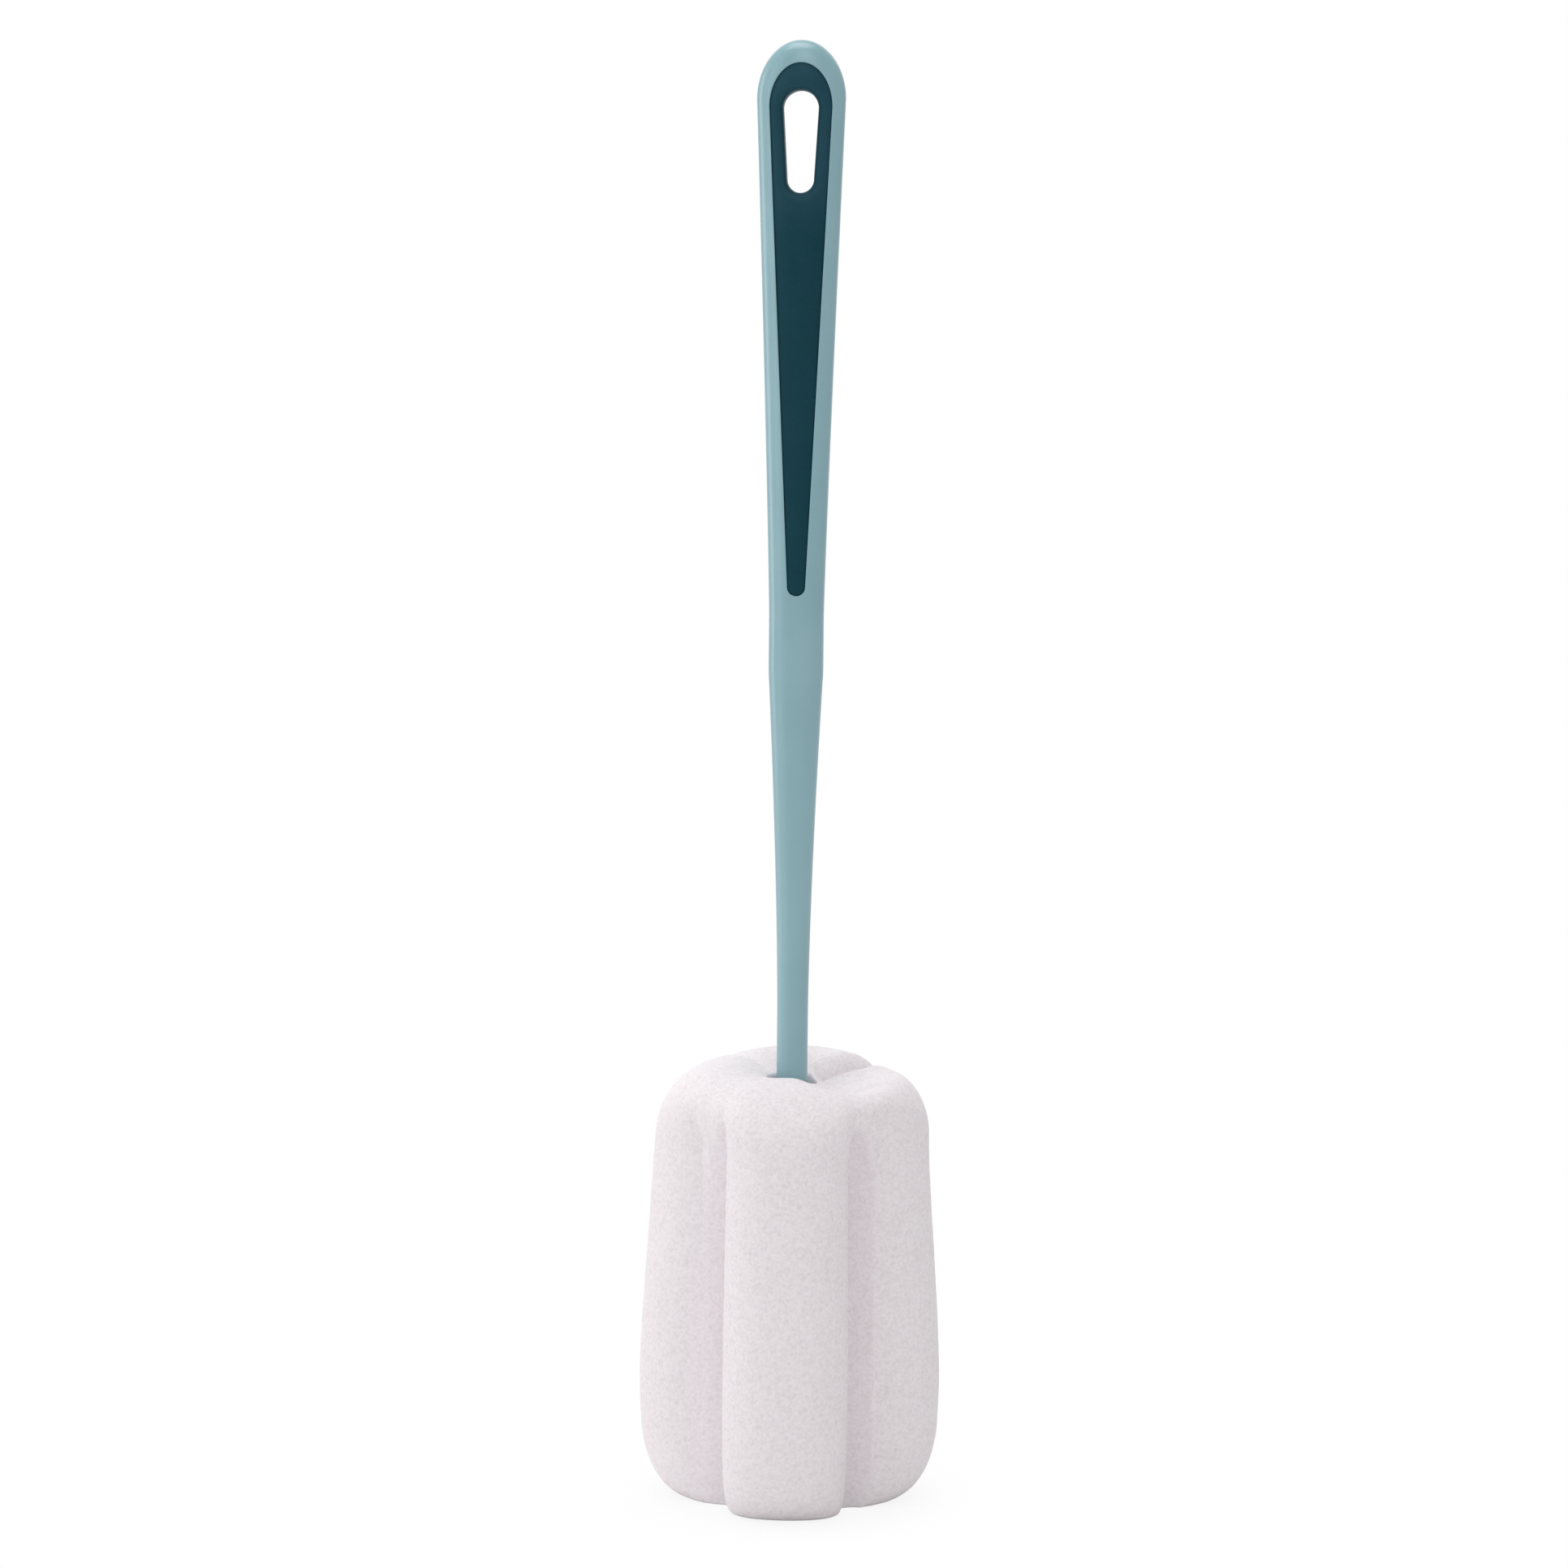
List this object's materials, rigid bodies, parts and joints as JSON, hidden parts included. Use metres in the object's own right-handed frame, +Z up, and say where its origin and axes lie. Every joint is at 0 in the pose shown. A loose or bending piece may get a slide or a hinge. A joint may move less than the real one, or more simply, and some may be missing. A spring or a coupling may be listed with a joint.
{
  "type": "bottle brush",
  "caption": "Long-handled bottle and cup brush with a lobed foam head on a slim tapering stem, a paddle grip with a soft inlay and a slot to hang it by.",
  "frame": {"origin": "centre of the foam head's flat base, at its lowest point", "axes": "+Z up the stem from the head to the grip, the grip's front face towards -Y, its width along X"},
  "size_m": [0.0606, 0.0606, 0.29],
  "materials": {
    "handle_plastic": "satin",
    "inlay_rubber": "matte",
    "head_foam": "matte"
  },
  "bodies": {
    "head": {"sponge_head": "head_foam"},
    "handle": {"handle": "handle_plastic", "grip_inlay": "inlay_rubber"}
  },
  "joints": [
    {"name": "head_pull", "type": "slide", "parent": "head", "child": "handle", "axis": [0, 0, 1], "range_m": [0, 0.072]}
  ]
}
